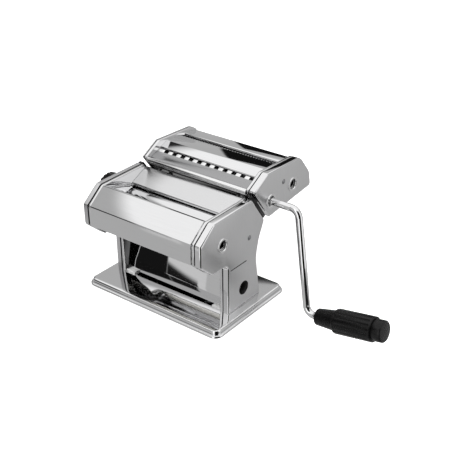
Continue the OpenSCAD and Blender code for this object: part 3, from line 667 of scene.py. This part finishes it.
# The rests are plain black strips in the gap between the head's covers and the cutter head's caps,
# a dark fill that stands for the shade in that gap.
dress("head_rests", black_plastic)

# ---- Thickness knob -------------------------------------------------------
# A ribbed black knob on the left turns the spiral cam that sets the gap. It
# sits over a dimpled steel dial plate and is pulled out before it is turned.
dress("thickness_knob", black_plastic, round_edge=0.4)
for node in ("dial_plate", "locating_pin", "adjuster_shaft", "spiral_cam", "knob_spring"):
    dress(node, drawn_steel, round_edge=0.1)

# ---- Cutter head frame ----------------------------------------------------
# The cutter head has its own two plates and two pressed caps, and hooks on to
# the back of the machine. Its right cap is deeper and has two ringed holes.
cutter_outline = [(50.5, 104, 3), (22.5, 143, 2), (20, 147, 2), (45.5, 161.3, 6),
                  (113.5, 159, 16), (135, 132.5, 14), (138.5, 113, 4)]
wide_axis, fine_axis, drum_centres = (53.2, 123.9), (98, 128.9), 18
mate_axes = [(y + drum_centres * cos(radians(lean)), z + drum_centres * sin(radians(lean)))
             for (y, z), lean in ((wide_axis, 40), (fine_axis, 38.9))]
bush_r, socket_bush_r = 5.5, 8.5
for name, side in (("cutter_left_plate", -1), ("cutter_right_plate", 1)):
    x0, x1 = side_span(side, plate_in, plate_out)
    plate = traced(name + "_skin", cutter_outline, x0, x1)
    bevel_rim(x0, plate_rim)
    bevel_rim(x1, plate_rim)
    through = side_span(side, 70, 90)
    for axis in (wide_axis, fine_axis):
        cut(plate, pin_along_x(*axis, socket_bush_r if side > 0 else bush_r, *through))
    for axis in mate_axes:
        cut(plate, pin_along_x(*axis, bush_r, *through))
    # The cutter plates' faces towards their caps get the painted shade of the gap.
    paint_faces(plate, (plate_steel, gap_shade_steel), lambda c, n: 1 if n.x * side > flat else 0)
    done(plate, "cutter_head", plate_steel, name)

cap_rim, cap_wall = 1.9, 1.0
right_cap = cap("cutter_right_cover_skin", cutter_outline, cover_open, cover_face,
                cap_rim, cap_wall)
for axis in (wide_axis, fine_axis):
    cut(right_cap, pin_along_x(*axis, ring_r, *side_span(1, 84, 92)))
paint_faces(right_cap, (cover_steel, rim_chrome), lambda c, n: 0 if abs(n.x) > flat else 1)
done(right_cap, "cutter_head", cover_steel, "cutter_right_cover")
low_open, low_face = 80, 82.6
left_cap = cap("cutter_left_cover_skin", cutter_outline, -low_open, -low_face,
               cap_rim, cap_wall)
done(left_cap, "cutter_head", plate_steel, "cutter_left_cover")
dress("cutter_tie_rods", drawn_steel)
dress("cutter_bushes", bronze)

# ---- Covers of the cutter head --------------------------------------------
# A round bar, a sloping tray with wide fingers, a bright middle panel with a
# fine comb behind it and the rear cover leave one slot over each cutter pair.
dress("front_bar", metal_finish("bar_chrome", (0.94, 0.94, 0.94), 0.16))
# The front sheet is painted dark as the shade inside the cutter head.
dress("cutter_front_sheet", gap_shade_steel)
# The comb's tray is dull, and its fingers, from finger_start back, are painted bright: a painted
# highlight where they catch the light from above.
finger_start, finger_blend = 40.4, 0.6
tray_steel = metal_finish("tray_steel_painted_highlight", (0.40, 0.40, 0.405), 0.18, lines=0.2)
nodes, links = tray_steel.node_tree.nodes, tray_steel.node_tree.links
tray_skin = nodes["Principled BSDF"]
tray_split = nodes.new("ShaderNodeSeparateXYZ")
links.new(nodes.new("ShaderNodeTexCoord").outputs["Object"], tray_split.inputs[0])
fingers = nodes.new("ShaderNodeMapRange")
fingers.inputs["From Min"].default_value = finger_start * mm
fingers.inputs["From Max"].default_value = (finger_start + finger_blend) * mm
links.new(tray_split.outputs["Y"], fingers.inputs["Value"])
finger_highlight_tone = nodes.new("ShaderNodeMix")
finger_highlight_tone.data_type = "RGBA"
# This bright tone is the painted highlight on the fingers.
finger_highlight_tone.inputs["B"].default_value = (0.95, 0.95, 0.95, 1)
links.new(fingers.outputs[0], finger_highlight_tone.inputs["Factor"])
links.new(tray_skin.inputs["Base Color"].links[0].from_socket, finger_highlight_tone.inputs["A"])
links.new(finger_highlight_tone.outputs["Result"], tray_skin.inputs["Base Color"])
dress("front_comb", tray_steel, round_edge=0.12)
panel = folded_sheet("middle_panel_skin", [
    (51, 141, 0), (47.4, 147, 0), (46.8, 152.4, 2), (60.5, 157.2, 8), (83.5, 155.8, 0)], -1.1)
done(panel, "cutter_head", chrome, "middle_panel")
dress("rear_comb", chrome, round_edge=0.08)
back = folded_sheet("cutter_rear_cover_skin", [
    (93.2, 150, 0), (94.6, 155.2, 1.5), (115.4, 153.9, 4), (133.4, 131, 12),
    (136.2, 114.6, 3), (127, 112.6, 0)], -1.1)
done(back, "cutter_head", chrome, "cutter_rear_cover")

# ---- Cutter drums ---------------------------------------------------------
# Four grooved steel drums in two pairs. The lower drum of each pair takes the
# crank in its socket and drives the other through a pair of cut gears.
drum_tint, drum_rough = (0.72, 0.72, 0.73), 0.15
# The drive cutters' sockets get the same painted shade.
for node, axis in (("wide_drive_cutter", wide_axis), ("fine_drive_cutter", fine_axis)):
    dress(node, shaded_socket_finish(node + "_steel", drum_tint, drum_rough, *axis), round_edge=0.12)
drum_steel = metal_finish("cutter_drum_steel", drum_tint, drum_rough)
for node in ("wide_mate_cutter", "fine_mate_cutter"):
    dress(node, drum_steel, round_edge=0.12)
for node in ("wide_drive_gear", "wide_mate_gear", "fine_drive_gear", "fine_mate_gear"):
    dress(node, gear_steel, round_edge=0.12)
for node in ("wide_strippers", "fine_strippers"):
    dress(node, scraper, round_edge=0.12)

# ---- Crank ----------------------------------------------------------------
# The crank is one chromed rod with two bends, its end flattened to a blade for
# the sockets. A fluted black grip turns freely on its lower end.
dress("crank_rod", metal_finish("crank_chrome", (0.90, 0.90, 0.905), 0.04), round_edge=0.2)
dress("grip_washer", drawn_steel, round_edge=0.1)
dress("crank_grip", black_plastic, round_edge=0.4, fold=30)
dress("grip_cap", black_plastic, round_edge=0.4)
